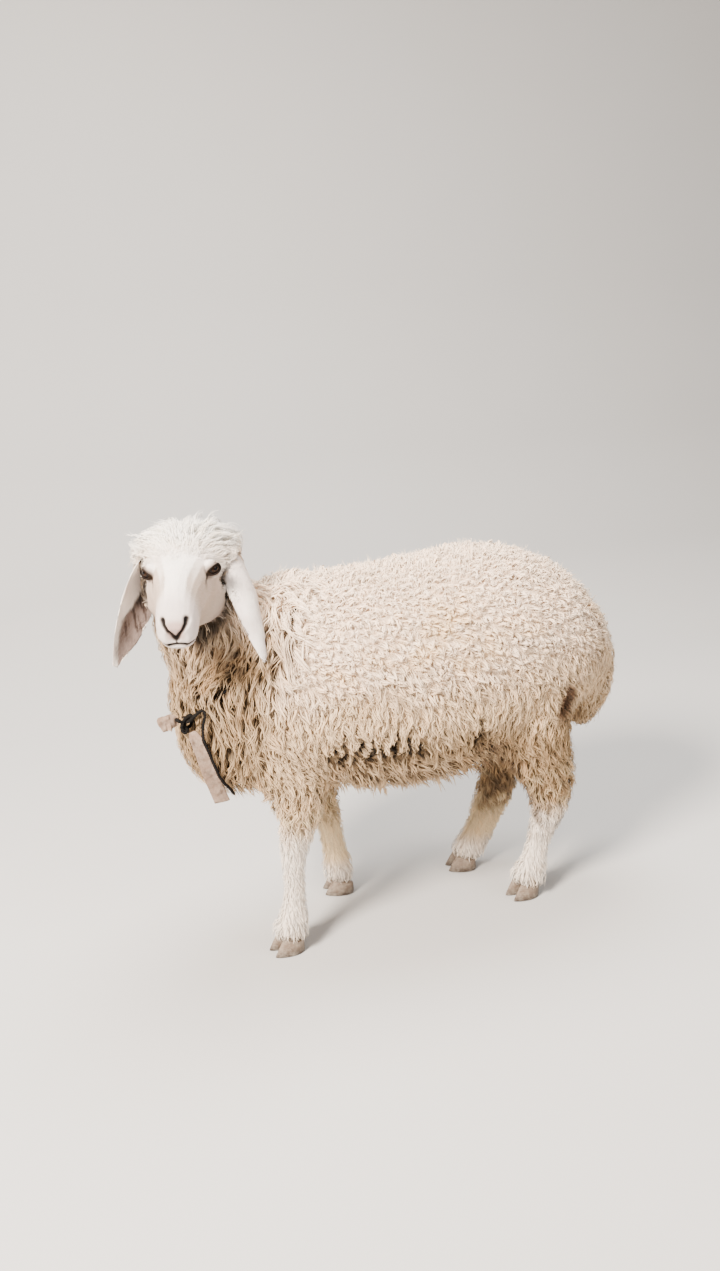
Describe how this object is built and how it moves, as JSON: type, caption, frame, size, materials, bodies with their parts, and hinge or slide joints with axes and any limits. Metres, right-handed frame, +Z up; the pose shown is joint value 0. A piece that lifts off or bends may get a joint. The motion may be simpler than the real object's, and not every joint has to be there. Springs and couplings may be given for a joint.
{
  "type": "standing sheep",
  "caption": "Life-size standing lop-eared fat-tailed sheep in full fleece, head turned to its left, with a thin cord collar, a worn strap and a short loose cord end.",
  "frame": {"origin": "middle of the overall box at floor level, between the feet", "axes": "+X the way the body faces, chest end; +Y the animal's left, the side its face is turned to; +Z up"},
  "size_m": [0.9544, 0.4078, 0.7767],
  "materials": {
    "wool": "matt curled wool, cream with tan and brown shading",
    "face_hair": "short white hair with a faint pink skin tone",
    "leg_hair": "short white to tan hair",
    "hoof_horn": "dull grey-brown horn with a dark lower rim",
    "eye": "wet amber-brown eye with a dark pupil",
    "cord": "black twisted cord, slightly dusty",
    "leather": "pale worn dry strap"
  },
  "bodies": {
    "root": {"claw_front_left_left": "hoof_horn", "claw_front_left_right": "hoof_horn", "claw_front_right_left": "hoof_horn", "claw_front_right_right": "hoof_horn", "claw_hind_left_left": "hoof_horn", "claw_hind_left_right": "hoof_horn", "claw_hind_right_left": "hoof_horn", "claw_hind_right_right": "hoof_horn", "collar_cord": "cord", "collar_cord_end": "cord", "collar_knot": "cord", "collar_scrap": "leather", "collar_strap": "leather", "ear_left": "face_hair", "ear_right": "face_hair", "eye_left": "eye", "eye_right": "eye", "head": "face_hair", "leg_front_left_lower": "leg_hair", "leg_front_left_upper": "leg_hair", "leg_front_right_lower": "leg_hair", "leg_front_right_upper": "leg_hair", "leg_hind_left_lower": "leg_hair", "leg_hind_left_upper": "leg_hair", "leg_hind_right_lower": "leg_hair", "leg_hind_right_upper": "leg_hair", "neck": "wool", "tail": "wool", "trunk": "wool"}
  },
  "joints": []
}
